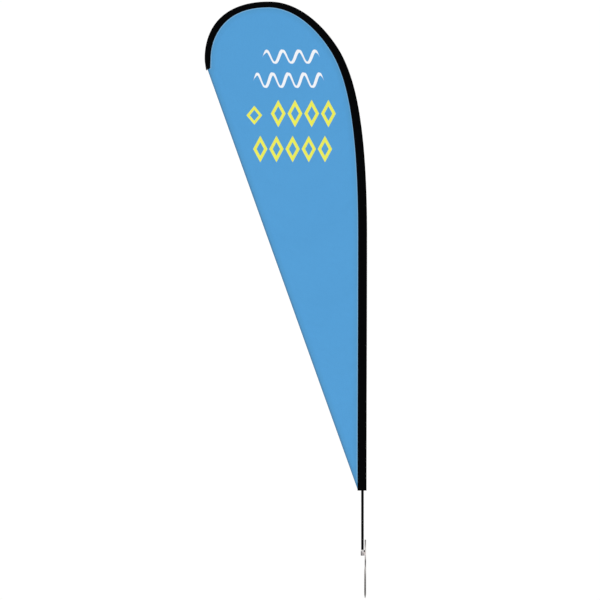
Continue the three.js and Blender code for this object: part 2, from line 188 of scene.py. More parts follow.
def lineAt(length):
    # the point, the direction along the line and the direction out of the bend, which is
    # the first turned by a right angle. Past its end the line goes on straight.
    here = np.stack([np.interp(length, lineLengths, linePoints[:, k]) for k in (0, 1)], -1)
    inside = np.clip(length, lineReach, lineEnd - lineReach)
    ahead, behind = (
        np.stack([np.interp(inside + reach, lineLengths, linePoints[:, k]) for k in (0, 1)], -1)
        for reach in (lineReach, -lineReach))
    along = unit(ahead - behind)
    out = np.stack([along[..., 1], -along[..., 0]], -1)
    here = here + along * np.clip(length - lineEnd, 0, None)[..., None]
    return here, along, out


def onLine(length, outward, sideways):
    # the place that lies outward and sideways of the line, at a length from its foot
    here, _, out = lineAt(length)
    x = here[..., 0] + out[..., 0] * outward
    z = here[..., 1] + out[..., 1] * outward
    return np.stack(np.broadcast_arrays(x, sideways, z), -1)


def turnAlong(name, profile, material, body, slot, closed, sides=48, step=14 * mm, **more):
    # (length, radius) pairs carried round the pole's line, with long stretches divided
    # into equal steps
    profile = np.asarray(profile, float)
    ring = np.concatenate([profile, profile[:1]]) if closed else profile
    dense = []
    for a, b in zip(ring[:-1], ring[1:]):
        count = max(int(abs(b[0] - a[0]) / step), 1)
        dense.append(a + (b - a) * np.arange(count)[:, None] / count)
    if not closed:
        dense.append(ring[-1:])
    dense = np.concatenate(dense)
    angle = around(sides)
    radius = dense[:, 1:]
    length = np.broadcast_to(dense[:, :1], (len(dense), sides))
    points = onLine(length, radius * np.cos(angle), radius * np.sin(angle))
    quads = gridFaces(len(dense), sides, wrapRows=closed)
    return addPiece(name, points, quads, material, body, slot, **more)


# Materials

class Nodes:
    # a new material, and short ways to write the node chains on it
    def __init__(self, name):
        self.material = bpy.data.materials.new(name)
        self.material.use_nodes = True
        self.tree = self.material.node_tree
        self.tree.nodes.clear()
        self.shader = self.add("ShaderNodeBsdfPrincipled")
        self.add("ShaderNodeOutputMaterial", {0: self.shader.outputs[0]})
        self.place = None

    def finish(self, colour, roughness, bump=None, fixed=()):
        # what varies over the surface is linked, and the rest is set on the shader's sockets
        varied = {"Base Color": colour, "Roughness": roughness}
        if bump is not None:
            varied["Normal"] = bump
        for socket, value in {**varied, **dict(fixed)}.items():
            self.set(self.shader.inputs[socket], value)
        return self.material

    def add(self, kind, inputs=(), **settings):
        # a node with its settings, and each input either linked or given a value
        node = self.tree.nodes.new(kind)
        for key, value in settings.items():
            setattr(node, key, value)
        for key, value in dict(inputs).items():
            self.set(node.inputs[key], value)
        return node

    def set(self, socket, value):
        # another node's output is linked, and anything else is the socket's own value
        if isinstance(value, bpy.types.NodeSocket):
            self.tree.links.new(value, socket)
        else:
            socket.default_value = value

    def math(self, operation, a, b=0.0):
        return self.add("ShaderNodeMath", {0: a, 1: b}, operation=operation).outputs[0]

    def times(self, a, b):
        return self.math("MULTIPLY", a, b)

    def plus(self, a, b):
        return self.math("ADD", a, b)

    def minus(self, a, b):
        return self.math("SUBTRACT", a, b)

    def position(self):
        # the place on the object, as separate X, Y and Z in metres
        if self.place is None:
            coordinates = self.add("ShaderNodeTexCoord").outputs["Object"]
            split = self.add("ShaderNodeSeparateXYZ", {0: coordinates})
            self.place = (coordinates, *split.outputs)
        return self.place

    def stretched(self, scale):
        # the place on the object, multiplied axis by axis
        return self.add(
            "ShaderNodeMapping", {"Vector": self.position()[0], "Scale": scale}).outputs[0]

    def noise(self, scale, detail=3.0, roughness=0.55, vector=None):
        # cloudy values around 0.5, scale times to the metre
        return self.add("ShaderNodeTexNoise", {
            "Vector": vector or self.position()[0], "Scale": scale, "Detail": detail,
            "Roughness": roughness}).outputs[0]

    def ramp(self, value, stops):
        # colours at places from 0 to 1, mixed evenly from one place to the next
        node = self.add("ShaderNodeValToRGB", {0: value})
        ramp = node.color_ramp
        while len(ramp.elements) < len(stops):
            ramp.elements.new(0.5)
        for element, (place, colour) in zip(ramp.elements, stops):
            element.position = place
            element.color = (*colour, 1)
        return node.outputs[0]

    def span(self, value, low, high, toLow=0.0, toHigh=1.0, smooth=False):
        # low to high becomes toLow to toHigh, and stops there on both sides
        node = self.add("ShaderNodeMapRange", {
            "Value": value, "From Min": low, "From Max": high, "To Min": toLow, "To Max": toHigh})
        node.interpolation_type = "SMOOTHSTEP" if smooth else "LINEAR"
        return node.outputs[0]

    def blend(self, factor, a, b, mode="MIX"):
        # colour a where the factor is 0, and b, or the two multiplied, where it is 1
        node = self.add("ShaderNodeMix", data_type="RGBA", blend_type=mode)
        self.set(node.inputs[0], factor)
        for socket, value in ((node.inputs[6], a), (node.inputs[7], b)):
            self.set(socket, (*value, 1) if isinstance(value, tuple) else value)
        return node.outputs[2]

    def bump(self, height, distance, strength):
        # heights of 0 to 1 read as 0 to distance metres
        return self.add("ShaderNodeBump", {
            "Height": height, "Distance": distance, "Strength": strength}).outputs[0]


def linear(red, green, blue):
    # a screen colour of 0 to 255 as light: ((c + 0.055) / 1.055) to the power 2.4
    return tuple(
        c / 12.92 if c <= 0.04045 else ((c + 0.055) / 1.055) ** 2.4
        for c in (red / 255, green / 255, blue / 255))


weave = dict(
    thread=0.62 * mm, depth=0.06 * mm, blackThread=0.9 * mm, blackDepth=0.08 * mm, webbing=1.8 * mm,
    sewing=0.5 * mm, sewingDepth=0.04 * mm,
)


def weaveHeight(n, thread, slant=0.0):
    # sine ribs across the cloth times sine rows up it: small raised crossings
    _, x, _, z = n.position()
    across = n.plus(x, n.times(z, slant))
    up = n.minus(z, n.times(x, slant))
    frequency = 2 * math.pi / thread
    ribs = n.math("SINE", n.times(across, frequency))
    rows = n.math("SINE", n.times(up, frequency * 0.8))
    return n.times(ribs, rows)


# Cloth of the flag, with its printed ornament: white waves above, yellow diamonds below

ornament = dict(
    waves=[
        dict(left=-0.700, right=-0.300, middle=3.492, height=0.040, waves=3.5, stroke=0.021),
        dict(left=-0.764, right=-0.270, middle=3.327, height=0.044, waves=4.5, stroke=0.021),
    ],
    diamonds=[
        dict(left=-0.818, count=1, pitch=0.122, middle=3.083, halfHeight=0.063, stroke=0.018),
        dict(left=-0.648, count=4, pitch=0.117, middle=3.095, halfHeight=0.093, stroke=0.021),
        dict(left=-0.772, count=5, pitch=0.1132, middle=2.847, halfHeight=0.090, stroke=0.021),
    ],
    white=linear(252, 253, 254),
    yellow=linear(246, 244, 76),
    soft=0.0012,
)
# shade darkens the weave's hollows, edge is painted shade towards the free edge and the seam, the seam's
# pale line is a painted highlight, and the hem's ramp is painted shade across its fold
clothBlue = dict(
    base=linear(85, 163, 220), light=linear(89, 167, 223), shade=linear(58, 120, 176),
    edge=linear(79, 146, 190), paintedSeamHighlight=linear(132, 184, 222),
    edgeShadeWidth=0.050, seamHighlightWidth=0.0065, hem=0.014,
    folded=[
        (0.0, linear(72, 124, 160)), (0.45, linear(77, 132, 170)),
        (0.6, linear(84, 148, 194)), (1.0, linear(84, 151, 201)),
    ],
)


def between(n, value, low, high, soft):
    # 1 from low to high and 0 outside, with softened ends
    rise = n.span(value, low - soft, low + soft)
    fall = n.span(value, high - soft, high + soft, 1, 0)
    return n.times(rise, fall)


brush = dict(middle=0.82, swell=0.30, swellTurn=1.1, taper=0.03, diamondShare=0.43)


def waveMask(n, left, right, middle, height, waves, stroke):
    # a sine line, |z - sine| / slant < half stroke, whose stroke swells on its rising side
    # and thins to nothing at both ends, as a brush leaves it
    _, x, _, z = n.position()
    frequency = 2 * math.pi * waves / (right - left)
    phase = n.times(n.minus(x, left), frequency)
    curve = n.times(n.math("SINE", phase), height)
    slope = n.times(n.math("COSINE", phase), height * frequency)
    tilt = n.math("SQRT", n.plus(n.times(slope, slope), 1.0))
    offset = n.minus(n.minus(z, middle), curve)
    distance = n.math("DIVIDE", n.math("ABSOLUTE", offset), tilt)
    swell = n.times(n.math("SINE", n.plus(phase, brush["swellTurn"])), brush["swell"])
    half = n.times(n.plus(swell, brush["middle"]), stroke / 2)
    ends = n.math("MINIMUM", n.minus(x, left), n.minus(right, x))
    half = n.times(half, n.span(ends, 0, brush["taper"], 0, 1, smooth=True))
    soft = ornament["soft"]
    ink = n.span(n.minus(distance, half), -soft, soft, 1, 0)
    return n.times(ink, between(n, x, left, right, soft))


def diamondMask(n, left, count, pitch, middle, halfHeight, stroke):
    # outlines of diamonds in a row: |x| / half width + |z| / half height = 1
    _, x, _, z = n.position()
    halfWidth = pitch * brush["diamondShare"]
    along = n.math("DIVIDE", n.minus(x, left), pitch)
    cell = n.minus(n.math("FRACT", along), 0.5)
    acrossPart = n.math("DIVIDE", n.math("ABSOLUTE", n.times(cell, pitch)), halfWidth)
    upPart = n.math("DIVIDE", n.math("ABSOLUTE", n.minus(z, middle)), halfHeight)
    level = n.minus(n.plus(acrossPart, upPart), 1 - stroke / 2 / halfWidth)
    perUnit = 1 / math.hypot(1 / halfWidth, 1 / halfHeight)
    distance = n.times(n.math("ABSOLUTE", level), perUnit)
    soft = ornament["soft"]
    ink = n.span(distance, stroke / 2 - soft, stroke / 2 + soft, 1, 0)
    return n.times(ink, between(n, x, left, left + count * pitch, soft))


def makeBlueCloth(name, printed):
    # a woven blue that drifts a little, with painted shade in its weave's hollows: where it is printed,
    # painted shade towards its free edge and its seam, a painted highlight along the seam, and its
    # ornament; in the hem, painted shade across the fold
    n = Nodes(name)
    drift = n.noise(1.7, detail=2.0)
    colour = n.blend(drift, clothBlue["base"], clothBlue["light"])
    crossings = weaveHeight(n, weave["thread"])
    # painted shade in the weave's hollows
    colour = n.blend(n.span(crossings, -1, 1, 0.26, 0), colour, clothBlue["shade"])
    fromEdge = n.add("ShaderNodeAttribute", attribute_name="fromEdge").outputs["Fac"]
    if printed:
        fromSeam = n.add("ShaderNodeAttribute", attribute_name="fromSeam").outputs["Fac"]
        # painted shade towards the free edge and towards the seam
        paintedEdgeShade = n.span(fromEdge, 0, clothBlue["edgeShadeWidth"], 0.5, 0, smooth=True)
        colour = n.blend(paintedEdgeShade, colour, clothBlue["edge"])
        paintedSeamShade = n.span(fromSeam, 0, clothBlue["edgeShadeWidth"], 0.35, 0, smooth=True)
        colour = n.blend(paintedSeamShade, colour, clothBlue["edge"])
        # a pale line beside the seam, a painted highlight
        paintedSeamHighlight = n.span(fromSeam, clothBlue["seamHighlightWidth"] * 0.7, clothBlue["seamHighlightWidth"], 0.85, 0)
        colour = n.blend(paintedSeamHighlight, colour, clothBlue["paintedSeamHighlight"])
        inkGrain = n.span(crossings, -1, 1, 0.90, 1.0)
        for mask, rows, ink in ((waveMask, "waves", "white"), (diamondMask, "diamonds", "yellow")):
            for row in ornament[rows]:
                colour = n.blend(n.times(mask(n, **row), inkGrain), colour, ornament[ink])
    else:
        # painted shade across the hem, darkest at its fold
        folded = n.ramp(n.span(fromEdge, 0, clothBlue["hem"]), clothBlue["folded"])
        colour = n.blend(0.9, colour, folded)
    roughness = n.span(n.noise(900.0, detail=1.0), 0.3, 0.7, 0.74, 0.9)
    return n.finish(colour, roughness, n.bump(crossings, weave["depth"], 0.9), {
        "Specular IOR Level": 0.18, "Sheen Weight": 0.08, "Sheen Roughness": 0.4})


def makeBlackCloth(name, thread, tone=(0.0007, 0.0008, 0.0011)):
    # a slanted weave with a painted highlight on its raised crossings, and a little lint
    n = Nodes(name)
    crossings = weaveHeight(n, thread, slant=0.5)
    lint = n.span(n.noise(420.0, detail=4.0), 0.60, 0.78)
    # raised crossings painted paler, a painted highlight
    colour = n.blend(n.span(crossings, -1, 1, 0, 0.6), tone, tuple(c * 2.2 for c in tone))
    colour = n.blend(n.times(lint, 0.25), colour, (0.006, 0.006, 0.007))
    roughness = n.span(n.noise(60.0), 0.3, 0.7, 0.82, 0.97)
    return n.finish(colour, roughness, n.bump(crossings, weave["blackDepth"], 0.6), {
        "Specular IOR Level": 0.03, "Sheen Weight": 0.004, "Sheen Roughness": 0.5})


def makeThread(name, colour, rough=0.6):
    # twisted thread: a sine of x + z, darker and rougher where it is high
    n = Nodes(name)
    _, x, _, z = n.position()
    twist = n.math("SINE", n.times(n.plus(x, z), 2 * math.pi / weave["sewing"]))
    colour = n.blend(n.span(twist, -1, 1, 0, 0.4), colour, tuple(c * 0.6 for c in colour))
    roughness = n.span(twist, -1, 1, rough, rough + 0.15)
    height = n.bump(twist, weave["sewingDepth"], 0.5)
    return n.finish(colour, roughness, height, {"Specular IOR Level": 0.25})


def makeMetal(name, tone, rough, streaks, scale, along=(1, 1, 1), spots=None, paintedShadeAndTint=None):
    # plated or turned metal: streaked roughness, faint clouding, marks of use, and painted light and shade
    # with tints where they are given
    n = Nodes(name)
    cloud = n.noise(scale * 0.25, detail=4.0)
    fine = n.noise(scale, detail=5.0, vector=n.stretched(along))
    colour = n.blend(n.span(cloud, 0.3, 0.7), tone, tuple(c * 0.82 for c in tone))
    # painted light and shade, and tints, multiplied into the colour
    if paintedShadeAndTint is not None:
        colour = n.blend(1.0, colour, paintedShadeAndTint(n), "MULTIPLY")
    if spots is not None:
        mask = n.span(n.noise(scale * 0.9, detail=6.0, roughness=0.7), 0.60, 0.70)
        colour = n.blend(n.times(mask, 0.6), colour, spots)
    roughness = n.span(fine, 0.3, 0.7, rough - streaks, rough + streaks)
    return n.finish(colour, roughness, n.bump(fine, 0.02 * mm, 0.35), {"Metallic": 1.0})


def spikePaintedLightAndShade(n):
    # painted light and shade along its height: darker at the head, a painted shade band under the housing,
    # a painted highlight beside the housing and its welds, darker towards the point; on the blade, painted
    # light on the left facet and painted shade on the right
    _, x, _, z = n.position()
    height = n.span(z, -0.2975, 0.1127)
    # painted shade and highlight, step by step up the spike
    paintedTones = [
        (0.00, 0.66), (0.03, 0.62), (0.06, 0.46), (0.13, 0.37), (0.16, 0.41), (0.23, 0.43),
        (0.30, 0.50), (0.37, 0.61), (0.44, 0.83), (0.48, 1.0), (0.51, 1.0), (0.54, 0.72),
        (0.575, 0.40), (0.61, 0.26), (0.645, 0.37), (0.675, 0.84), (0.71, 1.16), (0.74, 1.58),
        (0.85, 1.50), (0.88, 1.08), (0.915, 0.85), (0.95, 0.70), (0.985, 0.50), (1.0, 0.66),
    ]
    up = n.ramp(height, [(place, (g, g * 0.975, g * 0.96)) for place, g in paintedTones])
    # the blade's left facet painted lit, its right facet painted shaded
    paintedFacetShade = n.span(x, 0.0176, 0.0196, 1.08, 0.72)
    blade = n.span(height, 0.40, 0.46, 1, 0)
    return n.blend(blade, up, n.blend(1.0, up, paintedFacetShade, "MULTIPLY"))


def weldTintAndPaintedShadow(n):
    # straw and pink tints below, and black painted at the run's top end as the shadow between the housing
    # and the rod
    _, _, _, z = n.position()
    height = n.span(z, 0.0, 0.038)
    return n.ramp(height, [
        # from here up, black: a painted shadow
        (0.0, (1.32, 1.27, 1.26)), (0.5, (1.46, 1.40, 1.39)), (0.68, (1.1, 1.02, 0.98)),
        (0.74, (0.10, 0.08, 0.09)), (0.80, (0.03, 0.03, 0.035)), (1.0, (0.03, 0.03, 0.035))])


def housingPaintedLightAndShade(n):
    # painted shade on the side away from the rod and a painted highlight on the side towards it, and darker
    # towards its foot
    _, x, _, z = n.position()
    # painted shade on the left, painted highlight on the right
    place = n.plus(x, n.span(n.noise(160.0), 0.3, 0.7, -0.0015, 0.0015))
    side = n.span(place, -0.011, 0.005)
    across = n.ramp(side, [
        (0.0, (0.38, 0.37, 0.37)), (0.25, (0.46, 0.45, 0.45)), (0.5, (0.80, 0.78, 0.78)),
        (0.75, (1.08, 1.05, 1.05)), (1.0, (1.16, 1.14, 1.14))])
    # darker towards the foot
    up = n.ramp(n.span(z, 0.0, 0.032), [
        (0.0, (0.60, 0.59, 0.59)), (0.38, (0.68, 0.67, 0.67)),
        (0.6, (0.95, 0.95, 0.95)), (1.0, (1.04, 1.04, 1.04))])
    return n.blend(1.0, across, up, "MULTIPLY")


def makeBlackMetal(name, tone, rough, specular, scale):
    # anodised or pultruded black: fine drawn lines, thin scuffs
    n = Nodes(name)
    drawn = n.noise(scale, detail=4.0, vector=n.stretched((1, 1, 0.02)))
    scuff = n.span(n.noise(70.0, detail=8.0, roughness=0.75), 0.66, 0.70)
    colour = n.blend(n.times(scuff, 0.3), tone, tuple(c * 5 for c in tone))
    roughness = n.span(drawn, 0.3, 0.7, rough - 0.06, rough + 0.08)
    return n.finish(colour, roughness, n.bump(drawn, 0.01 * mm, 0.3), {"Specular IOR Level": specular})


def makePlastic(name, tone, rough, specular=0.4):
    # moulded plastic: faint clouding under a fine grain
    n = Nodes(name)
    grain = n.noise(1400.0, detail=3.0)
    colour = n.blend(n.span(n.noise(55.0), 0.3, 0.7), tone, tuple(c * 0.86 for c in tone))
    roughness = n.span(grain, 0.3, 0.7, rough - 0.06, rough + 0.06)
    return n.finish(colour, roughness, n.bump(grain, 0.015 * mm, 0.4), {"Specular IOR Level": specular})


blueCloth = makeBlueCloth("blueCloth", printed=True)
blueHem = makeBlueCloth("blueHem", printed=False)
blackCloth = makeBlackCloth("blackCloth", weave["blackThread"])
blackWebbing = makeBlackCloth("blackWebbing", weave["webbing"], tone=(0.004, 0.004, 0.0045))
blueThread = makeThread("blueThread", linear(74, 140, 194))
blackThread = makeThread("blackThread", (0.003, 0.003, 0.0035))
zincSteel = makeMetal("zincSteel", (0.60, 0.585, 0.575), 0.36, 0.10, 900.0,
                      along=(1, 1, 0.12), spots=(0.20, 0.18, 0.165), paintedShadeAndTint=spikePaintedLightAndShade)
weldMetal = makeMetal("weldMetal", (0.65, 0.625, 0.62), 0.48, 0.10, 1200.0, paintedShadeAndTint=weldTintAndPaintedShadow)
brightSteel = makeMetal("brightSteel", (0.74, 0.72, 0.715), 0.24, 0.07, 1500.0, along=(1, 1, 8),
                        paintedShadeAndTint=housingPaintedLightAndShade)
spindleSteel = makeMetal("spindleSteel", (0.80, 0.79, 0.78), 0.20, 0.06, 1500.0, along=(1, 1, 8))
plainZinc = makeMetal("plainZinc", (0.56, 0.55, 0.54), 0.38, 0.08, 900.0)
bearingSteel = makeMetal("bearingSteel", (0.62, 0.63, 0.64), 0.12, 0.04, 2500.0)
cageBrass = makeMetal("cageBrass", (0.62, 0.42, 0.14), 0.34, 0.08, 1200.0)
ferruleMetal = makeMetal("ferruleMetal", (0.60, 0.61, 0.62), 0.28, 0.08, 1500.0, along=(1, 1, 6))
whiteNylon = makePlastic("whiteNylon", (0.80, 0.79, 0.75), 0.42)
blackPlastic = makePlastic("blackPlastic", (0.008, 0.008, 0.009), 0.5, 0.3)
blackPole = makeBlackMetal("blackPole", (0.0009, 0.0009, 0.0011), 0.40, 0.05, 2500.0)
fibreRod = makeBlackMetal("fibreRod", (0.003, 0.003, 0.0035), 0.40, 0.15, 3200.0)
print("materials made")


# Steel: the spike, its welds and the bearing unit

spike = dict(
    rod=9.8 * mm, bladeWidth=13.4 * mm, bladeDepth=9 * mm, bladeStart=-72 * mm, bladeFull=-107 * mm,
    point=35 * mm, pointShare=0.2, mushroom=0.35 * mm, struckOver=3 * mm, dents=0.18 * mm,
    crown=1.1 * mm, crownShare=0.16, crownRows=(0, 0, 0.15, 0.5, 1.1, 2.0), squareness=0.62,
    rows=260, sides=64,
)


def makeSpike():
    # a round rod that is forged into a blade: its width, depth, centre and corner power
    # all pass smoothly from the rod's values to the blade's. Its point follows a sine, its
    # top edge a circle, and its dents are the product of two wanders.
    low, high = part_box("ground_spike")
    rodX = high.x - spike["rod"] / 2
    bladeX = high.x - spike["bladeWidth"] / 2
    z = np.linspace(high.z, low.z, spike["rows"])
    z = np.concatenate([high.z - np.array(spike["crownRows"]) * mm, z[z < high.z - spike["struckOver"]]])
    forged = smoothStep(-z, -spike["bladeStart"], -spike["bladeFull"])
    fromTip = np.clip((z - low.z) / spike["point"], 0, 1)
    taper = spike["pointShare"] + (1 - spike["pointShare"]) * np.sin(fromTip * math.pi / 2) ** 0.9
    struck = spike["mushroom"] * np.exp(-((high.z - z) / spike["struckOver"]) ** 2)
    crown = np.clip((high.z - z) / spike["crown"], 0, 1)
    edge = 1 - spike["crownShare"] * (1 - np.sqrt(1 - (1 - crown) ** 2))
    half, deep = (
        ((spike["rod"] * (1 - forged) + spike[blade] * forged) / 2 * taper + struck) * edge
        for blade in ("bladeWidth", "bladeDepth"))
    half[0] = deep[0] = 0
    power = 1 + spike["squareness"] * forged
    centre = rodX * (1 - forged) + bladeX * forged
    zz, aa = z[:, None], around(spike["sides"])[None]
    dent = spike["dents"] * roll(zz * 260 + 3 * np.sin(aa), 1.3) * roll(aa * 2 + zz * 90, 2.7)
    dent = dent * (0.25 + 0.75 * forged[:, None]) * (half[:, None] > 0)
    cos, sin = np.cos(aa), np.sin(aa)
    x = centre[:, None] + (half[:, None] + dent) * np.sign(cos) * np.abs(cos) ** power[:, None]
    y = (deep[:, None] + dent) * np.sign(sin) * np.abs(sin) ** power[:, None]
    points = np.stack([x, y, np.broadcast_to(zz, x.shape)], -1)
    tip = points[-1].mean(0)
    points = np.concatenate([points, np.broadcast_to(tip, (1, spike["sides"], 3))])
    quads = gridFaces(len(points), spike["sides"])
    addPiece("groundSpike", points, quads, zincSteel, spikeBody, "zinc_steel", ["ground_spike"], sharp=50)


# rise lifts each run past the housing's top, to carry its painted shadow
weld = dict(
    radius=3.15 * mm, ripple=0.35 * mm, pitch=2.1 * mm, bow=1.1 * mm, wander=0.25 * mm, rise=3.5 * mm,
    endShare=0.07, rows=120, sides=28,
)
faces = (("Front", -1), ("Back", 1))


def makeWelds():
    # a run of overlapping pools: its radius falls by a ripple between them, as |sine| of the
    # height, the ripples bow as a sine squared, and both ends are round
    angle = around(weld["sides"])[None]
    for side, _ in faces:
        node = f"weld_bead_{side.lower()}"
        low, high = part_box(node)
        cx, cy = (low.x + high.x) / 2, (low.y + high.y) / 2
        t = np.linspace(0, 1, weld["rows"])[:, None]
        z = low.z + (high.z + weld["rise"] - low.z) * t
        pool = np.abs(np.sin(math.pi * (z - weld["bow"] * np.sin(angle) ** 2) / weld["pitch"]))
        ends = np.clip(np.minimum(t, 1 - t) / weld["endShare"], 0, 1)
        radius = weld["radius"] - weld["ripple"] * (1 - pool) + weld["wander"] * roll(z * 900, 1.0)
        radius = radius * np.sqrt(1 - (1 - ends) ** 2)
        points = np.stack([
            cx + radius * np.cos(angle), cy + radius * np.sin(angle), np.broadcast_to(z, radius.shape)], -1)
        addPiece(f"weldRun{side}", points, gridFaces(weld["rows"], weld["sides"]), weldMetal, spikeBody,
                 "zinc_steel", [node], sharp=60)


bearingUnit = dict(
    floor=3.0, seat=5.7, seatRadius=8.2, bore=9.8, grooveRadius=11.45, grooveLow=27.65, grooveHigh=29.3,
    tail=3.7, neck=2.81, neckLow=4.35, neckHigh=5.85, tailLow=3.75, boss=5.2, bossLow=27.8,
    spigotChamfer=2.5, spigotInset=1.4, gap=0.3, leadIn=0.5, leadInDepth=1,
    housingEdge=0.7, spindleEdge=0.5, washerEdge=0.6, bushEdge=0.3,
)


def makeBearingUnit():
    # turned pieces, each a profile of (radius, height) corners in millimetres: a cup, the
    # spindle that stands in it, the washer on its flange, and the bush round its spigot
    u = bearingUnit
    gap = u["gap"]
    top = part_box("bearing_housing")[1]
    outer, height = top.x / mm, top.z / mm
    bore, seatRadius, groove = u["bore"], u["seatRadius"], u["grooveRadius"]
    profile = [
        (0, 0), (outer, 0), (outer, height), (bore, height), (bore, u["grooveHigh"]),
        (groove, u["grooveHigh"]), (groove, u["grooveLow"]), (bore, u["grooveLow"]),
        (bore, u["seat"]), (seatRadius, u["seat"]), (seatRadius, u["floor"]), (0, u["floor"]),
    ]
    turn("bearingHousing", rounded(profile, u["housingEdge"], False) * mm, brightSteel, spikeBody,
         "bright_steel", False, replaces=["bearing_housing"])

    washerLow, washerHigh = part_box("friction_washer")
    washerOut, washerBase, washerTop = washerHigh.x / mm, washerLow.z / mm, washerHigh.z / mm
    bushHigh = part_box("base_bush")[1]
    bushOut, bushTop, foot = bushHigh.x / mm, bushHigh.z / mm, poleFoot / mm
    spigot = bushOut - u["spigotInset"]
    bore = spigot + gap
    flangeLow, flangeHigh = height + gap, washerBase - gap
    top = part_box("spindle")[1].z / mm
    profile = [
        (0, u["tailLow"]), (u["tail"], u["tailLow"]), (u["tail"], u["neckLow"]), (u["neck"], u["neckLow"]),
        (u["neck"], u["neckHigh"]), (u["tail"], u["neckHigh"]), (u["tail"], u["bossLow"]),
        (u["boss"], u["bossLow"]), (u["boss"], flangeLow), (outer, flangeLow), (outer, flangeHigh),
        (spigot, flangeHigh), (spigot, top - u["spigotChamfer"]), (spigot - u["spigotChamfer"], top),
        (0, top),
    ]
    turn("spindleTurned", rounded(profile, u["spindleEdge"], False) * mm, spindleSteel, spindleBody,
         "bright_steel", False, replaces=["spindle"])
    washer = [(bore, washerBase), (washerOut, washerBase), (washerOut, washerTop), (bore, washerTop)]
    turn("frictionWasher", rounded(washer, u["washerEdge"], True) * mm, whiteNylon, spindleBody,
         "white_nylon", True, replaces=["friction_washer"])
    bush = [(bore, foot), (bushOut, foot), (bushOut, bushTop), (bore + u["leadIn"], bushTop),
            (bore, bushTop - u["leadInDepth"])]
    turn("baseBush", rounded(bush, u["bushEdge"], True) * mm, blackPlastic, flagBody, "black_plastic", True,
         replaces=["base_bush"])


makeSpike()
makeWelds()
makeBearingUnit()
print("spike and bearing unit made")


# The pole, its ferrules and the fittings at its tip

pole = dict(
    diameters=(18.3, 15, 12, 9.2), tipDiameter=6, wall=1.45, sectionLength=1208, gap=0.3,
    ferruleLength=100, ferruleWall=1.5, ferruleLip=6, capWall=1.3, capLength=20,
    pocketWall=1.2, pocketLength=45, sleeveEndWall=8.5, ferruleStop=1,
    poleEdge=0.35, ferruleEdge=0.4, capEdge=0.6, pocketEdge=0.5,
)
endMm = lineEnd / mm
poleEnd = endMm - pole["sleeveEndWall"] - 3 * pole["gap"] - pole["pocketWall"] - pole["capWall"]
capBore = pole["tipDiameter"] / 2 + 2 * pole["gap"]


def makePole():
    # profiles of (length, radius) corners along the line: two tubes, two solid rods, of which
    # the last tapers, and a stepped ferrule over each joint
    p = pole
    radii = [d / 2 for d in p["diameters"]]
    gap = p["gap"]
    for i, radius in enumerate(radii):
        start = i * p["sectionLength"] + (gap if i else 0)
        stop = (i + 1) * p["sectionLength"] if i < 3 else poleEnd
        tip = radius if i < 3 else p["tipDiameter"] / 2
        if i < 2:
            inner = radius - p["wall"]
            profile, closed = [(start, inner), (start, radius), (stop, radius), (stop, inner)], True
        else:
            profile, closed = [(start, 0), (start, radius), (stop, tip), (stop, 0)], False
        material, slot = (blackPole, "black_aluminium") if i < 2 else (fibreRod, "fibreglass")
        turnAlong(f"poleSection{i + 1}", rounded(profile, p["poleEdge"], closed) * mm, material, flagBody,
                  slot, closed, replaces=[f"pole_section_{i + 1}"])
    for i in range(1, 4):
        middle = i * p["sectionLength"] + gap / 2
        low, high = middle - p["ferruleLength"] / 2, middle + p["ferruleLength"] / 2
        wide, narrow = radii[i - 1] + gap, radii[i] + gap
        wall, stop = p["ferruleWall"], middle + p["ferruleStop"]
        profile = [
            (low, wide), (low, wide + wall), (high - p["ferruleLip"], wide + wall), (high, narrow + wall),
            (high, narrow), (stop, narrow), (stop, wide),
        ]
        turnAlong(f"ferrule{i}", rounded(profile, p["ferruleEdge"], True) * mm, ferruleMetal, flagBody,
                  "ferrule_metal", True, replaces=[f"ferrule_{i}"])


def cup(low, high, bore, wall):
    # a closed-ended sleeve: bore out to the mouth, round the lip and back over the end
    return [(high - wall, 0), (high - wall, bore), (low, bore), (low, bore + wall),
            (high, bore + wall), (high, 0)]


def makeTip():
    # a cap over the pole's end, and a pocket over the cap
    p = pole
    fine = dict(sides=32, step=6 * mm)
    capEnd = poleEnd + p["gap"] + p["capWall"]
    cap = cup(capEnd - p["capLength"], capEnd, capBore, p["capWall"])
    turnAlong("poleTipCap", rounded(cap, p["capEdge"], False) * mm, blackPlastic, flagBody,
              "black_plastic", False, replaces=["pole_tip_cap"], **fine)
    pocketEnd = capEnd + p["gap"] + p["pocketWall"]
    bore = capBore + p["capWall"] + p["gap"]
    pocket = cup(pocketEnd - p["pocketLength"], pocketEnd, bore, p["pocketWall"])
    turnAlong("tipPocket", rounded(pocket, p["pocketEdge"], False) * mm, blackWebbing, flagBody,
              "black_webbing", False, replaces=["tip_pocket"], **fine)


makePole()
makeTip()
print("pole made")


# The sleeve that the pole fills

sleeve = dict(
    width=61, tipWidth=38.7, outside=0.43, taperFrom=2115, taperLength=2000, taperPower=2.5,
    cloth=0.7, ease=0.5, seam=0.6, rows=760, side=25, mouthHem=18, hemEdge=1.2, hemThick=0.35,
    pucker=0.35, puckerPitch=41, crease=0.55, creasePitch=63, tipPinch=4.8, tipReach=70,
    fuller=2.4, thinner=3.6, thinOver=90, swellAt=4520, swellOver=165, swellOut=2.6, swellIn=4.4,
    endReach=40, endWall=0.9, endSlant=0.36, endPivot=14, stitchAt=4, stitchDip=0.35, stitchOver=1.2,
    bendReach=15, sharpBend=0.085, lip=0.35, closing=(0.55, 0.9, 1.0),
)


def sleeveWidth(s):
    # full at first, then narrower by a power of the way to the tip
    share = np.clip((s - sleeve["taperFrom"]) / sleeve["taperLength"], 0, 1)
    return sleeve["width"] + (sleeve["tipWidth"] - sleeve["width"]) * share ** sleeve["taperPower"]


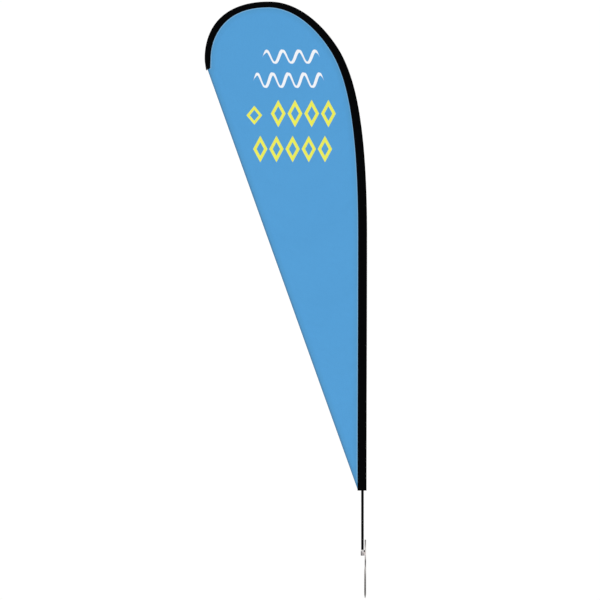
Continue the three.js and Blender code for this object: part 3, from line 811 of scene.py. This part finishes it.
def sleeveReach(s):
    # how far the sleeve goes outside the line and inside it: shares of its width, a little
    # fuller outside, a swell along a bell curve in the hook, and gathered in at the tip
    outer, inner = sleeve["outside"], 1 - sleeve["outside"]
    pinch = sleeve["tipPinch"] * smoothStep(s, endMm - sleeve["tipReach"], endMm)
    full = sleeve["fuller"] - sleeve["thinner"] * smoothStep(s, endMm - sleeve["thinOver"], endMm)
    swell = np.exp(-((s - sleeve["swellAt"]) / sleeve["swellOver"]) ** 2)
    return (outer * sleeveWidth(s) + full + sleeve["swellOut"] * swell,
            inner * sleeveWidth(s) - pinch + sleeve["swellIn"] * swell)


def sleeveRadius(s):
    # the cloth's outside over the pole: level over each ferrule, sloping from one to the next
    p = pole
    places, sizes = [mouthAt / mm], []
    for i in range(1, 4):
        middle = i * p["sectionLength"]
        places += [middle - p["ferruleLength"] / 2, middle + p["ferruleLength"] / 2]
        sizes += [p["diameters"][i - 1] / 2 + p["gap"] + p["ferruleWall"]] * 2
    places += [endMm - p["pocketLength"], endMm]
    sizes += [capBore + p["capWall"] + p["gap"] + p["pocketWall"]] * 2
    return np.interp(s, places, sizes[:1] + sizes) + sleeve["ease"] + sleeve["cloth"]


def bendAmount(s):
    # how sharply the line bends, from 0 where straight to 1 in the hook: the sine of the
    # angle between its directions on either side
    before, after = (lineAt((s + reach) * mm)[1] for reach in (-sleeve["bendReach"], sleeve["bendReach"]))
    turned = np.abs(before[..., 0] * after[..., 1] - before[..., 1] * after[..., 0])
    return np.clip(turned / sleeve["sharpBend"], 0, 1)


def sleeveSection(s, t, inset=0.0):
    # across the sleeve at length s, from its inner edge (t = 0) to its outer edge (t = 1):
    # the cloth leaves each seam as a straight line and wraps round the pole between them
    outer, inner = (reach - inset for reach in sleeveReach(s))
    u = -inner + (outer + inner) * (1 - np.cos(math.pi * t)) / 2
    radius = sleeveRadius(s) - inset
    edge = sleeve["seam"] * (1 - inset / 2)
    reach = np.where(u > 0, outer, inner)
    far = np.hypot(reach, edge)
    touch = np.arctan2(edge, reach) + np.arccos(np.clip(radius / far, -1, 1))
    touchU = radius * np.cos(touch)
    slope = (radius * np.sin(touch) - edge) / (touchU - reach)
    straight = edge + (np.abs(u) - reach) * slope
    wrapped = np.sqrt(np.clip(radius ** 2 - u ** 2, 0, None))
    v = np.where(np.abs(u) > touchU, straight, wrapped)
    return u, v, reach - np.abs(u)


def sleeveFolds(s, t, face):
    # small puckers beside the seams, and creases across the inside of the bend: sines along
    # the sleeve with a wandering phase, each under a bell curve across it
    u, _, fromSeam = sleeveSection(s, t)
    phase = 2 * math.pi * s / sleeve["puckerPitch"] + 1.7 * roll(s / 90, 2.0 + face)
    pucker = sleeve["pucker"] * np.sin(phase) * np.exp(-((fromSeam - 6) / 7) ** 2)
    creasePhase = 2 * math.pi * s / sleeve["creasePitch"] + 2.2 * roll(s / 140, 5.0 + face)
    inside = np.exp(-((u + 14) / 12) ** 2)
    crease = sleeve["crease"] * np.sin(creasePhase) * inside * (0.25 + 0.75 * bendAmount(s))
    return pucker + crease


def sleeveSurface(s, t, face, inset=0.0):
    # the section with its folds, thicker in the mouth's hem and drawn in along the stitches.
    # Near its end each place moves along by a share of u, so that the end is slanted.
    k = sleeve
    u, v, fromSeam = sleeveSection(s, t, inset)
    hemmed = 1 - smoothStep(s - mouthAt / mm, k["mouthHem"] - k["hemEdge"], k["mouthHem"])
    stitched = k["stitchDip"] * np.exp(-((fromSeam - k["stitchAt"]) / k["stitchOver"]) ** 2)
    thick = (k["hemThick"] * hemmed - stitched) * (inset == 0)
    soften = np.clip(fromSeam / k["stitchAt"], 0, 1)
    v = v + (sleeveFolds(s, t, face) + thick) * soften
    slant = k["endSlant"] * (u - k["endPivot"]) * smoothStep(s, endMm - k["endReach"], endMm)
    return onLine((s + slant) * mm, u * mm, face * v * mm)


def makeSleeve():
    # rings of the section from the closed end, down the inside, round the lip at the mouth,
    # and up the outside to the closed end again
    k = sleeve
    t = np.linspace(0, 1, k["side"])

    def ring(s, inset):
        # once round at each length: the front face, then the back face the other way
        s = np.broadcast_to(np.asarray(s, float)[:, None], (len(s), len(t)))
        tt = np.broadcast_to(t, s.shape)
        front, back = sleeveSurface(s, tt, -1, inset), sleeveSurface(s, tt, 1, inset)
        return np.concatenate([front, back[:, ::-1]], 1)

    start = mouthAt / mm
    stations = np.linspace(start, endMm, k["rows"])
    outside = ring(stations, 0.0)
    inside = ring(np.linspace(start, endMm - k["endWall"], k["rows"] // 2), k["cloth"])
    lip = (outside[:1] + inside[:1]) / 2 - np.array([0, 0, k["lip"]]) * mm
    points = np.concatenate([
        closeEnd(inside[-1])[::-1], inside[::-1], lip, outside, closeEnd(outside[-1])])
    return addPiece("poleSleeve", points, gridFaces(len(points), 2 * len(t)), blackCloth, flagBody,
                    "black_cloth", ["pole_sleeve"], sharp=70)


def closeEnd(ring):
    # the last ring drawn in, step by step, to the seam that closes it
    half = ring.shape[0] // 2
    mirror = np.concatenate([ring[half:][::-1], ring[:half][::-1]])
    middle = (ring + mirror) / 2
    return np.stack([ring + (middle - ring) * share for share in sleeve["closing"]])


poleSleeve = makeSleeve()
print("sleeve made")


# The flag's cloth

flag = dict(
    cornerRise=22, tipDrop=3, hem=14, cloth=0.34, tuck=1.6, tipTuck=9.5, seamEnd=10.5, spare=4,
    edgeInset=3.0, edgeWave=2.2, freeOver=60, rows=620, across=46, fineAcross=200, billow=6.0,
    simRows=150, simAcross=30, frames=32, wind=-14,
)
settling = {
    "quality": 6, "mass": 0.06, "tension_stiffness": 22, "compression_stiffness": 22, "shear_stiffness": 9,
    "bending_stiffness": 0.35, "air_damping": 2.0, "vertex_group_mass": "held", "shrink_min": -0.0035,
}
tipPoint, tipAlong, tipOut = lineAt(np.array(lineEnd))
upperCorner = tipPoint / mm + tipAlong * flag["tipDrop"]


def seamPoint(s, reach):
    # the place on the panel's side of the seam, reach millimetres outside the sleeve's edge
    here, _, out = lineAt(s * mm)
    inner = sleeveReach(s)[1] + reach
    return here / mm - out * inner[..., None]


mouthMm = mouthAt / mm
lowerCorner = np.array([
    seamPoint(np.array(mouthMm), np.array(pole["gap"]))[0], poleFoot / mm + mouthMm + flag["cornerRise"]])
edgeDown = unit(lowerCorner - upperCorner)
edgeIn = np.array([-edgeDown[1], edgeDown[0]])
upperCorner = upperCorner - edgeDown * flag["tipTuck"] - edgeIn * flag["spare"]
lowerCorner = lowerCorner - np.array([0, flag["spare"] / edgeDown[0]])
edgeLength = np.linalg.norm(lowerCorner - upperCorner)


def edgeWave(share):
    # how far the free edge strays sideways: a wander held still at both corners
    return flag["edgeWave"] * roll(share * 17, 0.6) * np.sin(math.pi * share) ** 0.7


def panelGrid(v, u):
    # from the free edge (u = 0) to the seam (u = 1), as straight lines whose ends move up
    # together (v = 0 at the lower corner), faster along the free edge at first
    rise = np.array([0, flag["edgeInset"] / edgeIn[1]])
    start = lowerCorner[1] - poleFoot / mm + rise[1]
    s = start + (endMm - flag["seamEnd"] - start) * v
    seam = seamPoint(s, np.full_like(s, -flag["tuck"]))
    share = 1 - (1 - v) ** 1.8
    low, high = lowerCorner + rise, upperCorner + edgeIn * flag["edgeInset"]
    edge = low + (high - low) * share[..., None]
    return edge + (seam - edge) * u[..., None], share, s


def cubic(grid, count, axis):
    # values between the rows of a grid: cubics whose slope at each row is half the step from
    # the row before it to the row after it
    grid = np.moveaxis(grid, axis, 0)
    place = np.linspace(0, len(grid) - 1, count)
    i = np.clip(place.astype(int), 0, len(grid) - 2)
    t = (place - i).reshape(-1, *[1] * (grid.ndim - 1))
    padded = np.concatenate([2 * grid[:1] - grid[1:2], grid, 2 * grid[-1:] - grid[-2:-1]])
    a, b, c, d = (padded[i + k] for k in range(4))
    out = b + 0.5 * t * (c - a + t * (2 * a - 5 * b + 4 * c - d + t * (3 * (b - c) + d - a)))
    return np.moveaxis(out, 0, axis)


def settleCloth():
    # the panel held on all four sides, a little loose, in a light breeze: how far each point
    # of a coarse grid ends up in front of or behind the flag's plane, eased by a tanh
    rows, across = flag["simRows"], flag["simAcross"]
    v, u = np.meshgrid(np.linspace(0.004, 0.996, rows), np.linspace(0, 1, across), indexing="ij")
    place, share, _ = panelGrid(v, u)
    y = edgeWave(share) * (1 - u)
    points = np.stack([place[..., 0], y, place[..., 1]], -1) * mm
    mesh = bpy.data.meshes.new("settling")
    mesh.from_pydata(points.reshape(-1, 3).tolist(), [], gridFaces(rows, across, wrapCols=False).tolist())
    cloth = placeObject("settling", mesh)
    held = (u < 1e-6) | (u > 1 - 1e-6) | (v < 0.005) | (v > 0.995)
    group = cloth.vertex_groups.new(name="held")
    group.add([int(i) for i in np.flatnonzero(held.ravel())], 1.0, "REPLACE")
    settings = cloth.modifiers.new("Cloth", "CLOTH").settings
    for key, value in settling.items():
        setattr(settings, key, value)
    breeze = placeObject("breeze", None)
    breeze.rotation_euler = (math.radians(90), 0, 0)
    bpy.context.view_layer.objects.active = breeze
    breeze.select_set(True)
    bpy.ops.object.forcefield_toggle()
    breeze.field.type = "WIND"
    breeze.field.strength = flag["wind"]
    scene = bpy.context.scene
    for step in range(1, flag["frames"] + 1):
        scene.frame_set(step)
    settled = cloth.evaluated_get(bpy.context.evaluated_depsgraph_get()).data
    found = np.empty(len(settled.vertices) * 3)
    settled.vertices.foreach_get("co", found)
    scene.frame_set(1)
    bpy.data.objects.remove(cloth)
    bpy.data.objects.remove(breeze)
    bpy.data.meshes.remove(mesh)
    moved = found.reshape(rows, across, 3)[..., 1] / mm - y
    print("cloth settled, largest move", round(float(np.abs(moved).max()), 2), "mm")
    return flag["billow"] * np.tanh(moved / max(np.abs(moved).max(), 1e-6) * 1.1)


sway = dict(
    pucker=0.42, pitch=43, over=22, heldOver=30,
    corner=dict(size=1.1, over=0.10, folds=2.5, turned=0.6, clear=0.03),
    tip=dict(size=0.9, over=0.07, folds=3.0, turned=1.9, clear=0.02),
)


def pulls(u, fromEnd, size, over, folds, turned, clear):
    # folds that run out from a corner: sines across the cloth that die away along it
    across = np.sin(2 * math.pi * u * folds + turned) * np.sin(math.pi * u) ** 2
    return size * np.exp(-fromEnd / over) * across * np.clip(fromEnd / clear, 0, 1)


def panelSway(v, u, s):
    # puckers beside the seam, as a sine that dies away from it, and the pulls at both corners
    edge, seam = (panelGrid(v, np.full_like(u, side))[0] for side in (0, 1))
    fromSeam = (1 - u) * np.linalg.norm(edge - seam, axis=-1)
    held = np.clip(fromSeam / sway["heldOver"], 0, 1) ** 0.5
    phase = 2 * math.pi * s / sway["pitch"] + 1.5 * roll(s / 80, 3.0)
    pucker = sway["pucker"] * np.sin(phase) * np.exp(-fromSeam / sway["over"]) * held
    return pucker + pulls(u, v, **sway["corner"]) + pulls(u, 1 - v, **sway["tip"])


def makePanel():
    # a front and a back on one grid, half the cloth's thickness either side of a middle that
    # is the free edge's wander, the settled billow and the small folds
    rows, across = flag["rows"], flag["across"]
    ease = np.linspace(0, 1, across)
    ease = 0.5 * ease + 0.5 * (1 - np.cos(math.pi * ease)) / 2
    v, u = np.meshgrid(np.linspace(0.002, 1, rows), ease, indexing="ij")
    place, share, s = panelGrid(v, u)
    y = edgeWave(share) * (1 - u)
    fromEdge = (place - upperCorner) @ edgeIn
    free = smoothStep(fromEdge, flag["hem"] - flag["edgeInset"], flag["hem"] + flag["freeOver"])
    fine = cubic(cubic(settleCloth(), rows, 0), flag["fineAcross"], 1)
    row = np.arange(rows)[:, None]
    column = u * (fine.shape[1] - 1)
    left = np.clip(column.astype(int), 0, fine.shape[1] - 2)
    part = column - left
    y = y + (fine[row, left] * (1 - part) + fine[row, left + 1] * part) * free
    y = y + panelSway(v, u, s) * free
    half = flag["cloth"] / 2
    front = np.stack([place[..., 0], y - half, place[..., 1]], -1)
    back = np.stack([place[..., 0], y + half, place[..., 1]], -1)
    points = np.concatenate([front, back[:, ::-1]], 1) * mm
    piece = addPiece("flagPanel", points, gridFaces(rows, 2 * across), blueCloth, flagBody, "blue_cloth",
                     ["flag_panel"], sharp=60, capRows=endRows(rows, 2 * across))
    storeDistances(piece)
    return piece


def endRows(rows, count):
    # the first row and the last as faces that close a tube of rows
    first, last = list(range(count)), list(range((rows - 1) * count, rows * count))
    return [first[::-1], last]


def storeDistances(piece):
    # how far each point is from the free edge, and from the nearest of many points along the
    # seam and the cloth's short upper end, for the cloth's shading
    mesh = piece.data
    found = np.empty(len(mesh.vertices) * 3)
    mesh.vertices.foreach_get("co", found)
    place = found.reshape(-1, 3)[:, [0, 2]]
    fromEdge = (place / mm - upperCorner) @ edgeIn * mm
    s = np.linspace(mouthMm, endMm, 1500)
    seam = seamPoint(s, np.zeros_like(s)) * mm
    corner = tipPoint + (tipAlong * 1.0 + tipOut * 3.0) * mm
    across = np.linspace(0, 1, 60)[:, None]
    seam = seam[s < endMm - flag["seamEnd"]]
    seam = np.concatenate([seam, seam[-1] * (1 - across) + corner * across])
    fromSeam = np.concatenate([
        np.sqrt(((part[:, None] - seam[None]) ** 2).sum(-1)).min(1) for part in np.array_split(place, 60)])
    for name, values in (("fromEdge", fromEdge), ("fromSeam", fromSeam)):
        mesh.attributes.new(name, "FLOAT", "POINT").data.foreach_set("value", values.astype(np.float32))


hem = dict(
    rows=(3.6, 10.6), fold=0.6, thick=0.50, dip=0.14, dipOver=0.8, pucker=0.10, puckerPitch=17,
    corner=0.8, cornerSpread=0.4, gridRows=700, gridAcross=16,
)


def hemSurface(share, across, face):
    # the folded strip along the free edge: across runs from the fold (0) to the raw edge (1).
    # The fold is a quarter circle, and the cloth dips under each row of stitches.
    width = flag["hem"]
    edge = lowerCorner + (upperCorner - lowerCorner) * share[..., None]
    fold = np.sqrt(np.clip(1 - (1 - np.clip(across * width / hem["fold"], 0, 1)) ** 2, 0, None))
    thick = hem["thick"] * fold
    for row in hem["rows"]:
        thick = thick - hem["dip"] * np.exp(-((across * width - row) / hem["dipOver"]) ** 2)
    phase = 2 * math.pi * share * edgeLength / hem["puckerPitch"] + 1.3 * roll(share * 60, 1.0)
    pucker = hem["pucker"] * np.sin(phase)
    toSeam = share * edgeLength * edgeDown[0] / -edgeDown[1] + hem["corner"]
    reach = np.minimum(across * width, toSeam + hem["cornerSpread"] * across)
    place = edge + edgeIn * reach[..., None]
    y = edgeWave(share) + face * (thick + pucker * (across > 0.05))
    return np.stack([place[..., 0], y, place[..., 1]], -1) * mm


def makeHem():
    # the strip's front and back, joined at the fold and at the raw edge
    rows, across = hem["gridRows"], hem["gridAcross"]
    t = np.linspace(0, 1, across) ** 1.3
    share, a = np.meshgrid(np.linspace(0, 1, rows), t, indexing="ij")
    front, back = hemSurface(share, a, -1), hemSurface(share, a, 1)
    points = np.concatenate([front[:, ::-1], back], 1)
    return addPiece("freeEdgeHem", points, gridFaces(rows, 2 * across), blueHem, flagBody, "blue_cloth",
                    ["free_edge_hem"], sharp=60, capRows=endRows(rows, 2 * across))


# Stitches: short arched threads, placed one after another along a seam

stitch = dict(pitch=3.4, length=2.5, radius=0.24, lift=0.20, sunk=0.08, sides=5, rings=5)


def makeStitches(name, middles, along, normal, material, slot):
    # each stitch is a five-sided tube whose middle line rises and falls, and whose radius
    # swells, as a cosine
    rings, sides = stitch["rings"], stitch["sides"]
    t = np.linspace(-0.5, 0.5, rings)
    angle = around(sides)
    side = np.cross(along, normal)
    rise = stitch["lift"] * np.cos(math.pi * t) - stitch["sunk"]
    thin = stitch["radius"] * (0.55 + 0.45 * np.cos(math.pi * t))
    core = (middles[:, None] + along[:, None] * (t * stitch["length"])[None, :, None]
            + normal[:, None] * rise[None, :, None])
    ringSide = side[:, None, None] * (thin[:, None] * np.cos(angle))[None, :, :, None]
    ringUp = normal[:, None, None] * (thin[:, None] * np.sin(angle))[None, :, :, None]
    points = (core[:, :, None] + ringSide + ringUp).reshape(-1, 3) * mm
    starts = (np.arange(len(middles)) * rings * sides)[:, None, None]
    quads = (gridFaces(rings, sides) + starts).reshape(-1, 4)
    caps = (np.array(endRows(rings, sides)) + starts).reshape(-1, sides)
    return addPiece(name, points, quads, material, flagBody, slot, sharp=80, capRows=caps.tolist())


def hemStitches():
    # two rows along the hem on each face, lying along the step from one place to the next
    for side, face in faces:
        middles, along = [], []
        for row in hem["rows"]:
            start = row * -edgeDown[1] / edgeDown[0] + 3
            share = np.arange(start, edgeLength - 12, stitch["pitch"]) / edgeLength
            across = np.full_like(share, row / flag["hem"])
            here = hemSurface(share, across, face) / mm
            ahead = hemSurface(share + 0.0004, across, face) / mm
            middles.append(here)
            along.append(unit(ahead - here))
        middles, along = np.concatenate(middles), np.concatenate(along)
        normal = np.broadcast_to(np.array([0.0, face, 0.0]), middles.shape)
        makeStitches(f"hemStitches{side}", middles, along, normal, blueThread, "blue_cloth")


def facing(vectors, face):
    # unit vectors, each turned to the side of the flag that face names
    vectors = unit(vectors)
    return vectors * np.sign(vectors[:, 1:2] * face)


def sleeveStitches():
    # one row beside the inner seam all the way, on each face: t is the place across the
    # sleeve that lies stitchAt millimetres from the seam
    s = np.arange(mouthMm + 30, endMm - 12, stitch["pitch"])
    t = np.arccos(1 - 2 * sleeve["stitchAt"] / sum(sleeveReach(s))) / math.pi
    for side, face in faces:
        here = sleeveSurface(s, t, face) / mm
        along = unit(sleeveSurface(s + 1.0, t, face) / mm - here)
        across = sleeveSurface(s, t + 0.01, face) / mm - here
        normal = facing(np.cross(across, along), face)
        makeStitches(f"sleeveStitches{side}", here, along, normal, blackThread, "black_cloth")


def mouthStitches():
    # two rows round the mouth's hem on each face, lying across the sleeve
    for side, face in faces:
        middles, along, normal = [], [], []
        for rise in (4.0, 14.5):
            t = np.linspace(0.16, 0.86, 17)
            s = np.full_like(t, mouthMm + rise)
            here = sleeveSurface(s, t, face) / mm
            run = unit(sleeveSurface(s, t + 0.004, face) / mm - here)
            up = sleeveSurface(s + 1.0, t, face) / mm - here
            middles.append(here)
            along.append(run)
            normal.append(facing(np.cross(run, up), face))
        makeStitches(f"mouthStitches{side}", *(np.concatenate(a) for a in (middles, along, normal)),
                     blackThread, "black_cloth")


strap = dict(thick=1.5, overlap=0.9, turns=1.12, steps=90)


def makeStrap():
    # tape wound a little more than once round the pole: a flat section on a circle whose
    # radius steps out smoothly where the tape's end laps over its start
    low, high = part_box("cinch_strap")
    inner = pole["diameters"][0] / 2 + pole["gap"]
    angle = np.linspace(0, 2 * math.pi * strap["turns"], strap["steps"])
    start = strap["overlap"] * smoothStep(angle, 2 * math.pi * (strap["turns"] - 1), 2 * math.pi)
    profile = np.array([(0, 0), (1, 0), (1, 1), (0, 1)], float)
    half = strap["thick"] / 2
    radius = inner + start[:, None] + profile[:, 0] * half
    height = low.z / mm + (high.z - low.z) / mm * profile[:, 1]
    turned = angle[:, None]
    points = np.stack(
        [radius * np.cos(turned), radius * np.sin(turned), np.broadcast_to(height, radius.shape)], -1) * mm
    return addPiece("cinchStrap", points, gridFaces(len(angle), 4), blackWebbing, flagBody, "black_webbing",
                    ["cinch_strap"], capRows=endRows(len(angle), 4))


flagPanel = makePanel()
freeEdgeHem = makeHem()
storeDistances(freeEdgeHem)
hemStitches()
sleeveStitches()
mouthStitches()
makeStrap()
print("flag made")


# The nodes that stay as they are get their finish

keptFinish = {
    "bearing_outer_ring": bearingSteel, "bearing_inner_ring": bearingSteel, "bearing_ball": bearingSteel,
    "circlip": bearingSteel, "bearing_cage": cageBrass, "spacer": plainZinc,
}
for nodeName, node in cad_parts.items():
    for part, finish in keptFinish.items():
        if part in nodeName:
            node.data.materials.clear()
            node.data.materials.append(finish)


# Floor, light and camera

def makeFloor():
    # a wide flat square just under the spike's point
    size = 40
    mesh = bpy.data.meshes.new("floor")
    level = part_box("ground_spike")[0].z - 1 * mm
    corners = [(x * size, y * size, level) for x, y in ((-1, -1), (1, -1), (1, 1), (-1, 1))]
    mesh.from_pydata(corners, [], [(0, 1, 2, 3)])
    floor = placeObject("floor", mesh)
    n = Nodes("paleFloor")
    colour = n.blend(n.noise(0.8), (0.80, 0.80, 0.80), (0.84, 0.84, 0.84))
    mesh.materials.append(n.finish(colour, n.span(n.noise(3.0), 0.3, 0.7, 0.7, 0.8)))


light = dict(
    lamps=(
        ("keyLight", 0.70, (58, 0, -38)), ("fillLight", 0.34, (64, 0, 48)),
        ("backLight", 0.55, (56, 0, 160)),
    ),
    softness=50, room=0.92, below=(0.55, 0.55, 0.56, 1), above=(1, 1, 1, 1), backdrop=1.02,
)


def makeLights():
    # three wide soft lamps, and a room that is darker below and plain white where it is seen
    for name, strength, turned in light["lamps"]:
        data = bpy.data.lights.new(name, "SUN")
        data.energy = strength
        data.angle = math.radians(light["softness"])
        placeObject(name, data).rotation_euler = [math.radians(a) for a in turned]
    world = bpy.data.worlds.new("studio")
    bpy.context.scene.world = world
    world.use_nodes = True
    tree = world.node_tree
    tree.nodes.clear()
    seen = tree.nodes.new("ShaderNodeBackground")
    seen.inputs[0].default_value = (1, 1, 1, 1)
    seen.inputs[1].default_value = light["backdrop"]
    lighting = tree.nodes.new("ShaderNodeBackground")
    coordinates = tree.nodes.new("ShaderNodeTexCoord")
    split = tree.nodes.new("ShaderNodeSeparateXYZ")
    ramp = tree.nodes.new("ShaderNodeValToRGB")
    tree.links.new(coordinates.outputs["Generated"], split.inputs[0])
    tree.links.new(split.outputs["Z"], ramp.inputs[0])
    tree.links.new(ramp.outputs[0], lighting.inputs[0])
    ramp.color_ramp.elements[0].color = light["below"]
    ramp.color_ramp.elements[1].color = light["above"]
    lighting.inputs[1].default_value = light["room"]
    path = tree.nodes.new("ShaderNodeLightPath")
    mix = tree.nodes.new("ShaderNodeMixShader")
    output = tree.nodes.new("ShaderNodeOutputWorld")
    tree.links.new(path.outputs["Is Camera Ray"], mix.inputs[0])
    tree.links.new(lighting.outputs[0], mix.inputs[1])
    tree.links.new(seen.outputs[0], mix.inputs[2])
    tree.links.new(mix.outputs[0], output.inputs[0])


viewpoint = dict(x=-0.4372, z=1.7899, back=9.0, height=4.2, far=100)


def makeCamera():
    # square on to the flag, without perspective
    data = bpy.data.cameras.new("camera")
    data.type = "ORTHO"
    data.ortho_scale = viewpoint["height"]
    data.clip_end = viewpoint["far"]
    camera = placeObject("camera", data)
    camera.location = (viewpoint["x"], -viewpoint["back"], viewpoint["z"])
    camera.rotation_euler = (math.radians(90), 0, 0)
    bpy.context.scene.camera = camera


makeFloor()
makeLights()
makeCamera()
bpy.context.scene.view_settings.view_transform = "Standard"
print("stage made")
